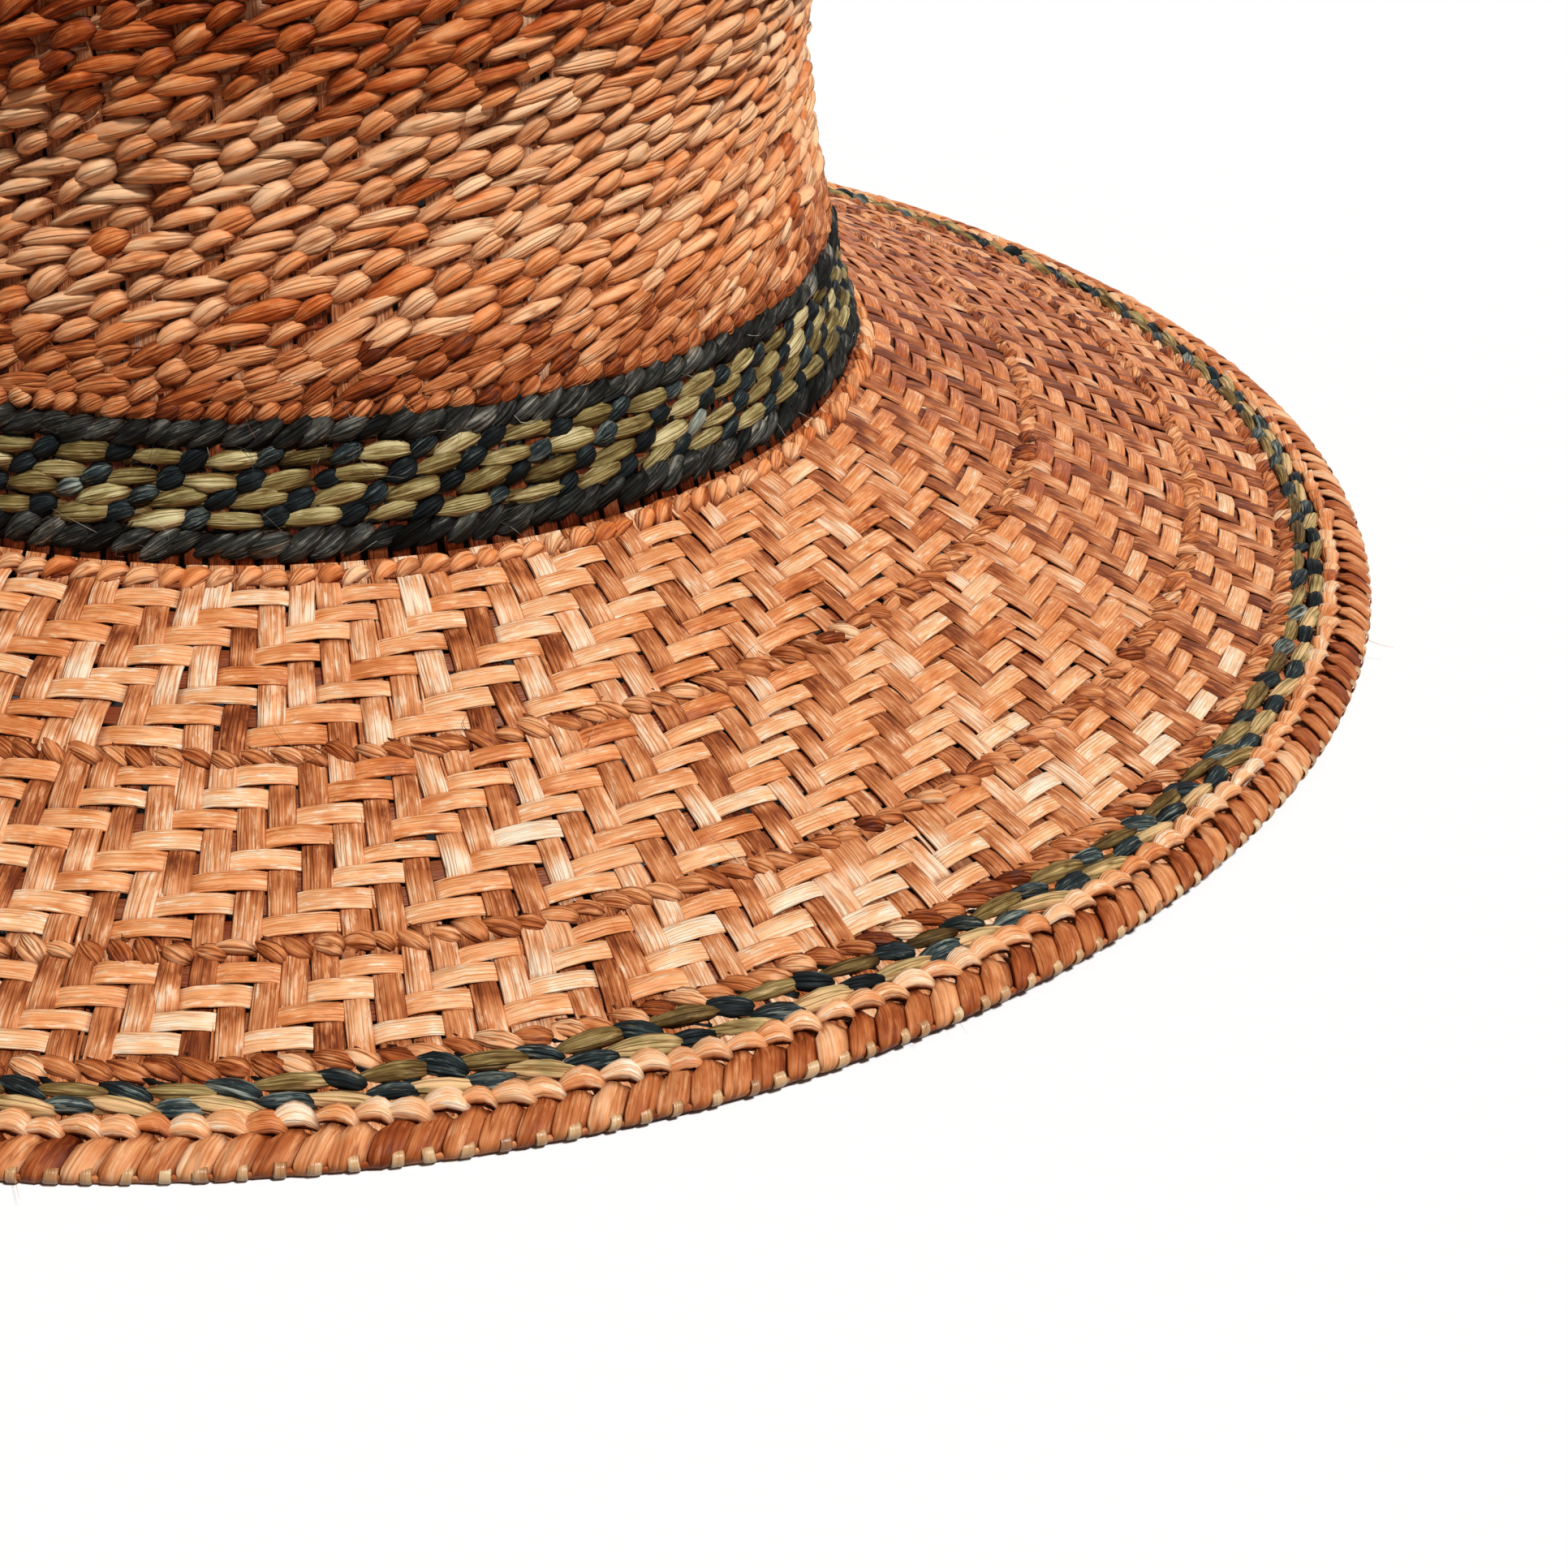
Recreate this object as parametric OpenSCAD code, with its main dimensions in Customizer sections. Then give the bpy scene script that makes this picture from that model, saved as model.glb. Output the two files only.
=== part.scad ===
// A brimmed hat woven from flat strips of bark: a twined crown with a dyed band,
// a sloping plaited brim, a twined border and a rim where the warp ends are folded over.
// Units are millimetres, +Z is up, and the hat stands with its rim on the plane z = 0.
// Warps run from the middle of the top to the rim. Twined rows hold them between a face
// strand and a back strand, and plaited rows lie by turns on the face and on the back.

/* [Head and crown] */
// Radius of the head opening, inside the weave
head_r = 93; // [70:0.5:120]
// Distance from the head opening to the middle of the warps at the foot of the crown
head_wall = 3; // [2.6:0.1:4]
// Height of the crown above its foot
crown_h = 102; // [80:1:140]
// How far the crown is drawn in from its foot to its waist
waist_in = 12.5; // [4:0.5:16]
// Height of the waist above the foot of the crown
waist_h = 56; // [40:1:70]
// How sharply the foot of the crown flares, as a power
flare = 1.5; // [1.2:0.1:2]
// Radius of the rounded shoulder
shoulder_r = 24; // [12:1:30]
// Radius of the shallow dome of the top
dome_r = 300; // [200:10:600]
// Radius of the knot where the weaving starts
start_r = 7; // [5:0.5:12]
// Thickness of the knot where the weaving starts
start_t = 2.4; // [1.5:0.1:4]

/* [Rows of the crown] */
// Spacing of the twined rows of the crown
course_step = 3; // [2.4:0.1:4]
// Spacing of the close rows just above the band
close_step = 2.4; // [2:0.1:3.5]
// Number of close rows
close_rows = 4; // [2:1:6]
// Spacing of the checked rows of the band
check_step = 2.7; // [2.3:0.1:4]
// Number of checked rows in the band
check_rows = 4; // [2:1:6]
// Height of the middle of the band's lower rope above the foot
rope_foot = 3; // [2.6:0.1:4]
// Width of the two ropes that edge the band
rope_w = 3.4; // [2.4:0.1:4.5]

/* [Brim] */
// Slope of the brim where it leaves the crown, in degrees below level
brim_slope_foot = 22; // [8:1:40]
// Slope of the brim at its rim, in degrees below level
brim_slope_rim = 14; // [6:1:30]
// Distance down the slope from the foot of the crown to the joining row
join_s = 2.5; // [2.2:0.1:4]
// Spacing of the plaited rows down the slope
plait_step = 3.4; // [2.6:0.1:4.5]
// Spacing between a twined row of the brim and the plaited row beside it
twine_step = 3.4; // [2.6:0.1:4.5]
// Number of plaited rows inside the inner twined row
rows_inner = 8; // [4:1:12]
// Number of plaited rows between the two twined rows
rows_middle = 8; // [4:1:12]
// Number of plaited rows outside the outer twined row
rows_outer = 4; // [2:1:8]
// Spacing of the twined border rows
border_step = 2.8; // [2.5:0.1:4]
// Width of the folded binding at the rim
binding_w = 5.6; // [4:0.1:8]

/* [Strands] */
// Thickness of a warp strip
warp_t = 0.6; // [0.4:0.05:1]
// Thickness of a plaited weft strip
plait_t = 0.5; // [0.3:0.05:0.9]
// Thickness of a twined strand
twine_t = 1; // [0.6:0.1:1.4]
// Thickness of a rope strand of the band
rope_t = 1.5; // [0.9:0.1:2]
// Thickness of the folded binding
binding_t = 0.9; // [0.5:0.05:1.4]
// Depth of binding over the cut ends of the warps
fold_t = 1.2; // [0.8:0.1:2]
// Depth to which the rim is worn flat where the hat stands
foot_wear = 0.4; // [0.2:0.05:0.6]
// Diameter of the sewing thread along the rim
thread_d = 0.6; // [0.3:0.05:1]
// Clearance between strands that cross
seat_gap = 0.12; // [0.08:0.01:0.2]
// Gap between neighbouring rows
row_gap = 0.3; // [0.15:0.05:0.5]

/* [Hidden] */
$fn = 180;
crown_groups = 8;
layer_steps = 10;
brim_rows = rows_inner + rows_middle + rows_outer;

// Nodes, from the middle of the top to the rim
function two_digits(i) = str(i < 10 ? "0" : "", i);
function crown_weft_name(g) = str("crown_weft_", g);
function check_name(i) = str("band_check_row_", i);
function brim_weft_name(i) = str("brim_weft_", two_digits(i));
border_names = [
    "border_inner_twining",
    "border_check_row_inner",
    "border_check_row_outer",
    "border_outer_twining"
];

// Colours of undyed and dyed bark
bark_warp = [0.62, 0.36, 0.22];
bark_weft = [0.79, 0.50, 0.31];
bark_red = [0.66, 0.33, 0.16];
dyed_dark = [0.16, 0.19, 0.19];
dyed_olive = [0.45, 0.41, 0.24];
thread_pale = [0.88, 0.82, 0.70];

// Distances down the slope of the brim, from the foot of the crown
first_inner = join_s + twine_step;
inner_twined_s = first_inner + (rows_inner - 1) * plait_step + twine_step;
first_middle = inner_twined_s + twine_step;
outer_twined_s = first_middle + (rows_middle - 1) * plait_step + twine_step;
first_outer = outer_twined_s + twine_step;
border_s = first_outer + (rows_outer - 1) * plait_step + twine_step;
border_rows = len(border_names);
binding_s = border_s + (border_rows - 0.5) * border_step;
rim_s = binding_s + binding_w;

// Half thicknesses at the rim, and heights above the plane that the hat stands on
binding_slot = warp_t / 2 + seat_gap;
binding_half = binding_slot + binding_t;
rim_z = binding_half * cos(brim_slope_rim) - foot_wear;
foot_r = head_r + head_wall;
waist_r = foot_r - waist_in;
foot_z = rim_z + brim_run(rim_s)[1];

// Rows of the band and crown, as heights above the foot
rope_step = (rope_w + check_step) / 2;
upper_rope_h = rope_foot + 2 * rope_step + (check_rows - 1) * check_step;
close_first = upper_rope_h + (rope_w + close_step) / 2;
band_top_h = (upper_rope_h + rope_w / 2 + close_first - close_step / 2) / 2;
course_first = close_first + (close_rows - 1) * close_step + (close_step + course_step) / 2;

// The shoulder is tangent to the wall and to the dome
shoulder_c = waist_r - shoulder_r;
dome_edge = asin(shoulder_c / (dome_r - shoulder_r));
shoulder_turn = 90 - dome_edge;
shoulder_h = crown_h - dome_r + (dome_r - shoulder_r) * cos(dome_edge);
dome_len = dome_r * dome_edge * PI / 180;
shoulder_len = shoulder_r * shoulder_turn * PI / 180;
crown_len = dome_len + shoulder_len + shoulder_h;
courses = floor((crown_len - course_first - start_r - course_step) / course_step) + 1;

// A place on the weave is [radius, height, tilt], with tilt the angle of the outward
// normal above level. Heights are above the plane that the hat stands on.
function brim_angle(s) = brim_slope_foot + (brim_slope_rim - brim_slope_foot) * s / rim_s;

// Run and drop of the brim's arc from the foot to a distance down its slope
function brim_run(s) =
    let (half = (brim_angle(s) - brim_slope_foot) / 2)
    let (chord = half == 0 ? s : s * sin(half) / (half * PI / 180))
    [chord * cos(brim_slope_foot + half), chord * sin(brim_slope_foot + half)];

function brim_at(s) =
    [foot_r + brim_run(s)[0], foot_z - brim_run(s)[1], 90 - brim_angle(s)];

function wall_at(h) =
    let (rest = max(0, 1 - h / waist_h))
    let (lean = atan(waist_in * flare / waist_h * pow(rest, flare - 1)))
    [waist_r + waist_in * pow(rest, flare), foot_z + h, lean];

function shoulder_at(turn) =
    [shoulder_c + shoulder_r * cos(turn), foot_z + shoulder_h + shoulder_r * sin(turn), turn];

function dome_at(c) =
    let (angle = c / dome_r * 180 / PI)
    [dome_r * sin(angle), foot_z + crown_h - dome_r * (1 - cos(angle)), 90 - angle];

// A place on the crown by its distance from the middle of the top
function crown_at(c) =
    c <= dome_len ? dome_at(c)
    : c <= dome_len + shoulder_len
        ? shoulder_at(shoulder_turn - (c - dome_len) / shoulder_r * 180 / PI)
        : wall_at(crown_len - c);

// A point at a distance out along the normal of a place, and a distance up the surface
function off_surface(place, out, up = 0) = [
    place[0] + out * cos(place[2]) - up * sin(place[2]),
    place[1] + out * sin(place[2]) + up * cos(place[2])
];

function places_down(from, to) = [for (i = [0:layer_steps]) from + (to - from) * i / layer_steps];

// A layer of warps, turned about the axis from the places that it passes through
module warp_layer(places) {
    half = warp_t / 2;
    last = len(places) - 1;
    face = [for (p = places) off_surface(p, half)];
    back = [for (i = [last:-1:0]) off_surface(places[i], -half)];
    rotate_extrude() polygon(concat(face, back));
}

// A flat strand with eased corners, laid round the hat at a place
module strand(place, width, thickness, out) {
    ease = thickness * 0.3;
    x = thickness / 2;
    y = width / 2;
    rotate_extrude()
        translate([place[0], place[1]])
            rotate(place[2])
                translate([out, 0])
                    polygon([
                        [x, y - ease], [x - ease, y], [ease - x, y], [-x, y - ease],
                        [-x, ease - y], [ease - x, -y], [x - ease, -y], [x, ease - y]
                    ]);
}

// Distance from the middle of the warps to the middle of a strand that lies on them
function seat(thickness) = warp_t / 2 + seat_gap + thickness / 2;

// A twined row: a face strand and a back strand, with the warps held between them
module twined_row(place, width, thickness) {
    strand(place, width, thickness, seat(thickness));
    strand(place, width, thickness, -seat(thickness));
}

module crown_start() {
    color(bark_red)
        rotate_extrude()
            polygon([
                [0, foot_z + crown_h + start_t / 2],
                off_surface(dome_at(start_r / 2), start_t / 2),
                off_surface(dome_at(start_r), warp_t / 2),
                off_surface(dome_at(start_r), -warp_t / 2),
                off_surface(dome_at(start_r / 2), -start_t / 2),
                [0, foot_z + crown_h - start_t / 2]
            ]);
}

module crown_top_warps() {
    color(bark_warp)
        warp_layer([for (c = places_down(start_r + seat_gap, dome_len - seat_gap)) dome_at(c)]);
}

module crown_shoulder_warps() {
    color(bark_warp)
        warp_layer([for (turn = places_down(shoulder_turn, 0)) shoulder_at(turn)]);
}

module crown_wall_warps() {
    color(bark_warp)
        warp_layer([for (h = places_down(shoulder_h - seat_gap, band_top_h)) wall_at(h)]);
}

// One of the groups that the crown's courses fall into, counted up from the band
module crown_weft(group) {
    first = floor((group - 1) * courses / crown_groups);
    last = floor(group * courses / crown_groups) - 1;
    color(bark_weft)
        for (i = [first:last])
            twined_row(
                crown_at(crown_len - course_first - i * course_step),
                course_step - row_gap,
                twine_t
            );
}

module crown_close_weft() {
    color(bark_red)
        for (i = [0:close_rows - 1])
            twined_row(wall_at(close_first + i * close_step), close_step - row_gap, twine_t);
}

// The band's warps stop short of the bend at the foot, where the brim's warps begin
module band_warps() {
    color(bark_warp)
        warp_layer([for (h = places_down(band_top_h - seat_gap, warp_t / 2)) wall_at(h)]);
}

module band_upper_rope() {
    color(dyed_dark)
        twined_row(wall_at(upper_rope_h), rope_w - row_gap, rope_t);
}

module band_check_row(i) {
    color(dyed_olive)
        twined_row(
            wall_at(upper_rope_h - rope_step - (i - 1) * check_step),
            check_step - row_gap,
            twine_t
        );
}

// The back strand of the lower rope is pressed straight by the head, and is its opening
module band_lower_rope() {
    place = wall_at(rope_foot);
    half = (rope_w - row_gap) / 2;
    seat_out = -warp_t / 2 - seat_gap;
    top = off_surface(place, seat_out, half);
    bottom = off_surface(place, seat_out, -half);
    color(dyed_dark) {
        strand(place, rope_w - row_gap, rope_t, seat(rope_t));
        rotate_extrude() polygon([top, bottom, [head_r, bottom[1]], [head_r, top[1]]]);
    }
}

module brim_join_twining() {
    color(bark_weft)
        twined_row(brim_at(join_s), twine_step - row_gap - twine_t, twine_t);
}

module brim_warps(from, to) {
    color(bark_warp)
        warp_layer([for (s = places_down(from, to)) brim_at(s)]);
}

module brim_warps_inner() {
    brim_warps(warp_t / 2, inner_twined_s - seat_gap);
}

module brim_warps_middle() {
    brim_warps(inner_twined_s, outer_twined_s - seat_gap);
}

module brim_warps_outer() {
    brim_warps(outer_twined_s, rim_s - fold_t - seat_gap);
}

function brim_row_s(i) =
    i <= rows_inner ? first_inner + (i - 1) * plait_step
    : i <= rows_inner + rows_middle ? first_middle + (i - rows_inner - 1) * plait_step
    : first_outer + (i - rows_inner - rows_middle - 1) * plait_step;

// A plaited row lies on the face where its number is odd and on the back where it is even
module brim_weft(i) {
    side = i % 2 == 1 ? 1 : -1;
    color(bark_weft)
        strand(brim_at(brim_row_s(i)), plait_step - row_gap, plait_t, side * seat(plait_t));
}

module brim_inner_twined_row() {
    color(bark_red)
        twined_row(brim_at(inner_twined_s), twine_step - row_gap, twine_t);
}

module brim_outer_twined_row() {
    color(bark_red)
        twined_row(brim_at(outer_twined_s), twine_step - row_gap, twine_t);
}

module border_row(i) {
    checked = i == 2 || i == 3;
    color(checked ? dyed_olive : bark_red)
        twined_row(brim_at(border_s + (i - 1) * border_step), border_step - row_gap, twine_t);
}

// The warp ends fold over the edge: two lips on the brim's faces and a rounded outer edge,
// worn flat below where the hat stands on it
module edge_binding() {
    rim = brim_at(rim_s);
    ease = binding_t / 2;
    wear_up = foot_wear / cos(brim_slope_rim);
    wear_in = foot_wear / sin(brim_slope_rim);
    lip = binding_w - row_gap;
    color(bark_weft)
        rotate_extrude()
            polygon([
                off_surface(rim, binding_half, lip),
                off_surface(rim, binding_half, ease),
                off_surface(rim, binding_half - ease, 0),
                off_surface(rim, wear_up - binding_half, 0),
                off_surface(rim, -binding_half, wear_in),
                off_surface(rim, -binding_half, lip),
                off_surface(rim, -binding_slot, lip),
                off_surface(rim, -binding_slot, fold_t),
                off_surface(rim, binding_slot, fold_t),
                off_surface(rim, binding_slot, lip)
            ]);
}

module edge_sewing_thread() {
    rim = brim_at(rim_s);
    seat_at = off_surface(rim, 0, -seat_gap - thread_d / 2);
    color(thread_pale)
        rotate_extrude() translate(seat_at) circle(d = thread_d, $fn = 24);
}

crown_start();
crown_top_warps();
crown_shoulder_warps();
crown_wall_warps();
for (g = [1:crown_groups])
    crown_weft(g);
crown_close_weft();
band_warps();
band_upper_rope();
for (i = [1:check_rows])
    band_check_row(i);
band_lower_rope();
brim_join_twining();
brim_warps_inner();
brim_warps_middle();
brim_warps_outer();
for (i = [1:brim_rows])
    brim_weft(i);
brim_inner_twined_row();
brim_outer_twined_row();
for (i = [1:border_rows])
    border_row(i);
edge_binding();
edge_sewing_thread();
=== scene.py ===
"""A brimmed hat woven from strips of bark: twined crown, dyed band, plaited brim and folded rim.

Every strand is laid on one surface. A place on it is given by m, the distance in millimetres
down from the middle of the top, by theta, the angle round the axis, and by out, the distance
in millimetres along the outward normal. Seen from the front, theta grows to the right.
"""

import math

import bpy
import numpy as np
from mathutils import Matrix


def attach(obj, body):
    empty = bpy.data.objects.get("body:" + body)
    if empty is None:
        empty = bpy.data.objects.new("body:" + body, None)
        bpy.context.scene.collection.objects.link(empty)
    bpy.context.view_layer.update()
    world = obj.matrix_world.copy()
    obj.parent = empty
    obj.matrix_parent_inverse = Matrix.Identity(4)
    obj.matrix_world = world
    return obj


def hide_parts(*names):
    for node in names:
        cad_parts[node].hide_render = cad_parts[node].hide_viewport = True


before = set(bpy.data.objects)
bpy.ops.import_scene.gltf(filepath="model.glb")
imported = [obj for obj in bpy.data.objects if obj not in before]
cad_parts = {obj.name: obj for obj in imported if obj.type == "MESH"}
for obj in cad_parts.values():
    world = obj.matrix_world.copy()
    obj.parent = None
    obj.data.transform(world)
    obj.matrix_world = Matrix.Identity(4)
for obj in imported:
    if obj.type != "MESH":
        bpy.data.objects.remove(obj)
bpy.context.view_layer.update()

MM = 0.001
TURN = 2 * math.pi

# Shape of the hat, as in the frame: lengths in millimetres, slopes in radians, and FLARE a power
FOOT_R = 96.0
WAIST_R = 83.5
WAIST_H = 56.0
FLARE = 1.5
CROWN_H = 102.0
SHOULDER_R = 24.0
DOME_R = 300.0
START_R = 7.0
SLOPE_FOOT = math.radians(22)
SLOPE_RIM = math.radians(14)
RIM_Z = 0.881

# Rows: their spacing, widths and places in millimetres, and how many there are
COURSE_STEP = 3.0
CLOSE_STEP = 2.4
CLOSE_ROWS = 4
CHECK_STEP = 2.7
CHECK_ROWS = 4
ROPE_FOOT = 3.0
ROPE_W = 3.4
JOIN_S = 2.5
PLAIT_STEP = 3.4
BORDER_STEP = 2.8
BINDING_W = 5.6
CROWN_GROUPS = 8
ROWS_INNER = 8
ROWS_MIDDLE = 8
ROWS_OUTER = 4

# Number of warps in each zone, of stitches in a rope and of warps in the close rows
WARPS_WALL = 120
WARPS_BAND = 168
WARPS_MIDDLE = 216
WARPS_OUTER = 276
ROPE_STITCHES = 156
CLOSE_WARPS = 144

# Zones of the crown: the distance from the middle where each starts, and its warps
CROWN_ZONES = ((START_R, 15), (15.0, 30), (31.0, 60), (60.0, WARPS_WALL))

# Distances down the slope of the brim in millimetres
INNER_TWINED_S = JOIN_S + (ROWS_INNER + 1) * PLAIT_STEP
OUTER_TWINED_S = INNER_TWINED_S + (ROWS_MIDDLE + 1) * PLAIT_STEP
BORDER_S = OUTER_TWINED_S + (ROWS_OUTER + 1) * PLAIT_STEP
BINDING_S = BORDER_S + 3.5 * BORDER_STEP
RIM_S = BINDING_S + BINDING_W

# Folds of the rim in millimetres: where they start, their height, gap to the edge and lean
FOLD_TOP_S = BINDING_S - 0.9
FOLD_RISE = 1.35
FOLD_GAP = 0.5
FOLD_LEAN = 2.9

# A fold follows a superellipse with this power, up to this angle in radians
FOLD_POWER = 2 / 3
FOLD_END = 1.72

# Cord under the folds in millimetres: half its thickness, and its place from the edge and outwards
CORD_HALF = 0.56
CORD_IN = 0.82
CORD_OUT = -0.22

# Sewing thread in millimetres: the middle of its arc from the edge and outwards, its reach and height
THREAD_IN = 1.35
THREAD_OUT = 0.1
THREAD_REACH = 1.42
THREAD_RISE = 1.0

# The thread follows a superellipse with this power, from one angle to another in degrees
THREAD_POWER = 0.8
THREAD_FROM = 84
THREAD_TO = -62

# Heights of rows above the foot in millimetres
ROPE_STEP = (ROPE_W + CHECK_STEP) / 2
UPPER_ROPE_H = ROPE_FOOT + 2 * ROPE_STEP + (CHECK_ROWS - 1) * CHECK_STEP
CLOSE_FIRST = UPPER_ROPE_H + (ROPE_W + CLOSE_STEP) / 2
BAND_TOP_H = (UPPER_ROPE_H + ROPE_W / 2 + CLOSE_FIRST - CLOSE_STEP / 2) / 2
COURSE_FIRST = CLOSE_FIRST + (CLOSE_ROWS - 1) * CLOSE_STEP + (CLOSE_STEP + COURSE_STEP) / 2

# The shoulder is tangent to the wall and to the dome, and lengths run down the surface
SHOULDER_C = WAIST_R - SHOULDER_R
DOME_EDGE = math.asin(SHOULDER_C / (DOME_R - SHOULDER_R))
SHOULDER_H = CROWN_H - DOME_R + (DOME_R - SHOULDER_R) * math.cos(DOME_EDGE)
DOME_LEN = DOME_R * DOME_EDGE
SHOULDER_LEN = SHOULDER_R * (math.pi / 2 - DOME_EDGE)
CROWN_LEN = DOME_LEN + SHOULDER_LEN + SHOULDER_H
COURSES = int((CROWN_LEN - COURSE_FIRST - START_R - COURSE_STEP) / COURSE_STEP) + 1

# Thicknesses of strands and how far they swing over and under, in millimetres
WARP_T = 0.45
WEFT_T = 0.4
WEFT_SWING = 0.4
WARP_SWING = 0.24

# Widest strips of the warps in millimetres
CROWN_STRIP_W = 6.6
BAND_STRIP_W = 3.2
BRIM_STRIP_W = 3.9

# Heights of the handmade waves of the rim and of the wall in millimetres
RIM_WAVE = 1.6
WALL_WAVE = 0.35

# How far the wall leans out again, and the share of the waist's height where that starts
TOP_FLARE = 2.5
FLARE_FROM = 0.8

# Painted shade in a patch high on the wall, whose middle also places the border's paler
# straw: its middle, its first row, its ease in rows and its depth
PATCH_AT = math.radians(-118)
PATCH_ROW = 8.5
PATCH_EASE = 3.5
PATCH_BY = 0.52

# Where the stitches of the crown lean most, and by how much
TILT_AT = math.radians(-150)
TILT_BY = 0.12

# Row where the patch and the lean start to fade towards the top, and in how many rows they do
FADE_ROW = 18
FADE_EASE = 6

# Painted shade on one side of the brim: where it starts and ends, how wide its ends are
# and how much darker it is
SHADED_SIDE = np.radians([-58, 150])
SHADED_SIDE_EASE = math.radians(45)
SHADED_SIDE_BY = 0.28

# How much paler a brim's warp is at a row: twice under it, then over it, first and second
RUBBED = np.array([0, 0, -0.08, 0.16])

# How much darker the first plaited row after a twined row is
DARKER_BY = 0.14

# How far inside the rim the outer warps end, in millimetres
WARP_STOP = 1.4

# Steps between the strands' own places in the noise, and where these start again
OWN_STEP = 7.31
OWN_RANGE = 97

# Limits of a stitch's tint
DARKEST = 0.02
PALEST = 0.98

# Seeds of the random draws
SEED_CROWN_ROWS = 100
SEED_CLOSE_ROWS = 120
SEED_START = 130
SEED_BAND = 140
SEED_PLAITED_ROWS = 200
SEED_PLAITED_WARPS = 301
SEED_TWINED_ROWS = 310
SEED_BORDER = 320
SEED_FOLDS = 330
SEED_THREAD = 340
SEED_CROWN_WARPS = 401


def smooth(t):
    """An eased step from 0 to 1: three times the square less twice the cube."""
    t = np.clip(t, 0, 1)
    return t * t * (3 - 2 * t)


def brim_run(s):
    """Run and drop of the brim's arc, whose slope changes evenly from foot to rim."""
    half = (SLOPE_RIM - SLOPE_FOOT) * s / RIM_S / 2
    chord = s * np.sinc(half / math.pi)
    return chord * np.cos(SLOPE_FOOT + half), chord * np.sin(SLOPE_FOOT + half)


FOOT_Z = RIM_Z + float(brim_run(np.array(RIM_S))[1])


def meridian():
    """Radius and height by distance m: a dome arc, a shoulder arc, a wall that flares by a
    power of its height, and the brim's arc. A short running mean eases the bend at the foot."""
    step = 0.25
    past_rim = 4
    eased = 4
    window = 11
    m = np.arange(0, CROWN_LEN + RIM_S + past_rim, step)
    dome = m / DOME_R
    turn = math.pi / 2 - DOME_EDGE - (m - DOME_LEN) / SHOULDER_R
    h = CROWN_LEN - m
    rest = np.clip(1 - h / WAIST_H, 0, None)
    run, drop = brim_run(np.clip(m - CROWN_LEN, 0, None))
    zones = [m <= DOME_LEN, m <= DOME_LEN + SHOULDER_LEN, m <= CROWN_LEN]
    r = np.select(
        zones,
        [
            DOME_R * np.sin(dome),
            SHOULDER_C + SHOULDER_R * np.cos(turn),
            WAIST_R + (FOOT_R - WAIST_R) * rest**FLARE,
        ],
        FOOT_R + run,
    )
    z = np.select(
        zones,
        [
            CROWN_H - DOME_R * (1 - np.cos(dome)),
            SHOULDER_H + SHOULDER_R * np.sin(turn),
            h,
        ],
        -drop,
    )
    flare_h = FLARE_FROM * WAIST_H
    r *= 1 + TOP_FLARE / WAIST_R * smooth((h - flare_h) / (SHOULDER_H - flare_h))
    near = np.abs(m - CROWN_LEN) < eased
    mean = np.ones(window) / window
    r[near] = np.convolve(r, mean, "same")[near]
    z[near] = np.convolve(z, mean, "same")[near]
    return m, r, z + FOOT_Z


M_AT, R_AT, Z_AT = meridian()
SLOPE_AT = np.arctan2(-np.gradient(Z_AT), np.gradient(R_AT))


def radius(m):
    """Radius of the surface at distance m, read off the meridian."""
    return np.interp(m, M_AT, R_AT)


def lay(m, theta, out):
    """Points in metres: radius and height at m, moved by out along the normal, turned by theta.
    A long low wave of three crests lifts the brim towards its rim, and two crossing waves give
    the crown slight hollows."""
    slope = np.interp(m, M_AT, SLOPE_AT)
    s = np.clip((m - CROWN_LEN) / RIM_S, 0, None)
    wave = RIM_WAVE * s**2 * (1 + np.cos(3 * theta + 2.1)) / 2
    wall = np.sin(math.pi * np.clip(m / CROWN_LEN, 0, 1)) ** 2
    dent = WALL_WAVE * wall * (np.sin(5 * theta + m / 19) + np.sin(3 * theta - m / 31))
    r = radius(m) + (out + dent) * np.sin(slope)
    z = np.interp(m, M_AT, Z_AT) + (out + dent) * np.cos(slope) + wave
    return np.stack([r * np.cos(theta), r * np.sin(theta), z], -1) * MM


def by_point(value, shape):
    """One value, or one for each strand, ring or point, spread over all points."""
    value = np.asarray(value, float)
    missing = len(shape) - value.ndim if value.ndim else 0
    return np.broadcast_to(value.reshape(value.shape + (1,) * missing), shape)


def tubes(m, theta, out, y, h, turn, along, tint, dye=0.0, unshaded=1.0, fibre=None, looped=False):
    """Strands as closed tubes. Lines m, theta and out have a row per strand and a column per
    ring. Section offsets y, across the strand, and h, along the normal, add a last axis.
    turn is the angle of the across direction, 0 for across the rows and a quarter turn for
    along them. fibre is the place across the strand that the fibres follow, y if not given."""
    away = y * np.sin(turn)[..., None] / np.maximum(radius(m), 1)[..., None]
    points = lay(m[..., None] + y * np.cos(turn)[..., None], theta[..., None] + away, out[..., None] + h)
    return closed_tubes(points, y if fibre is None else fibre, along, tint, dye, unshaded, looped)


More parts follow.
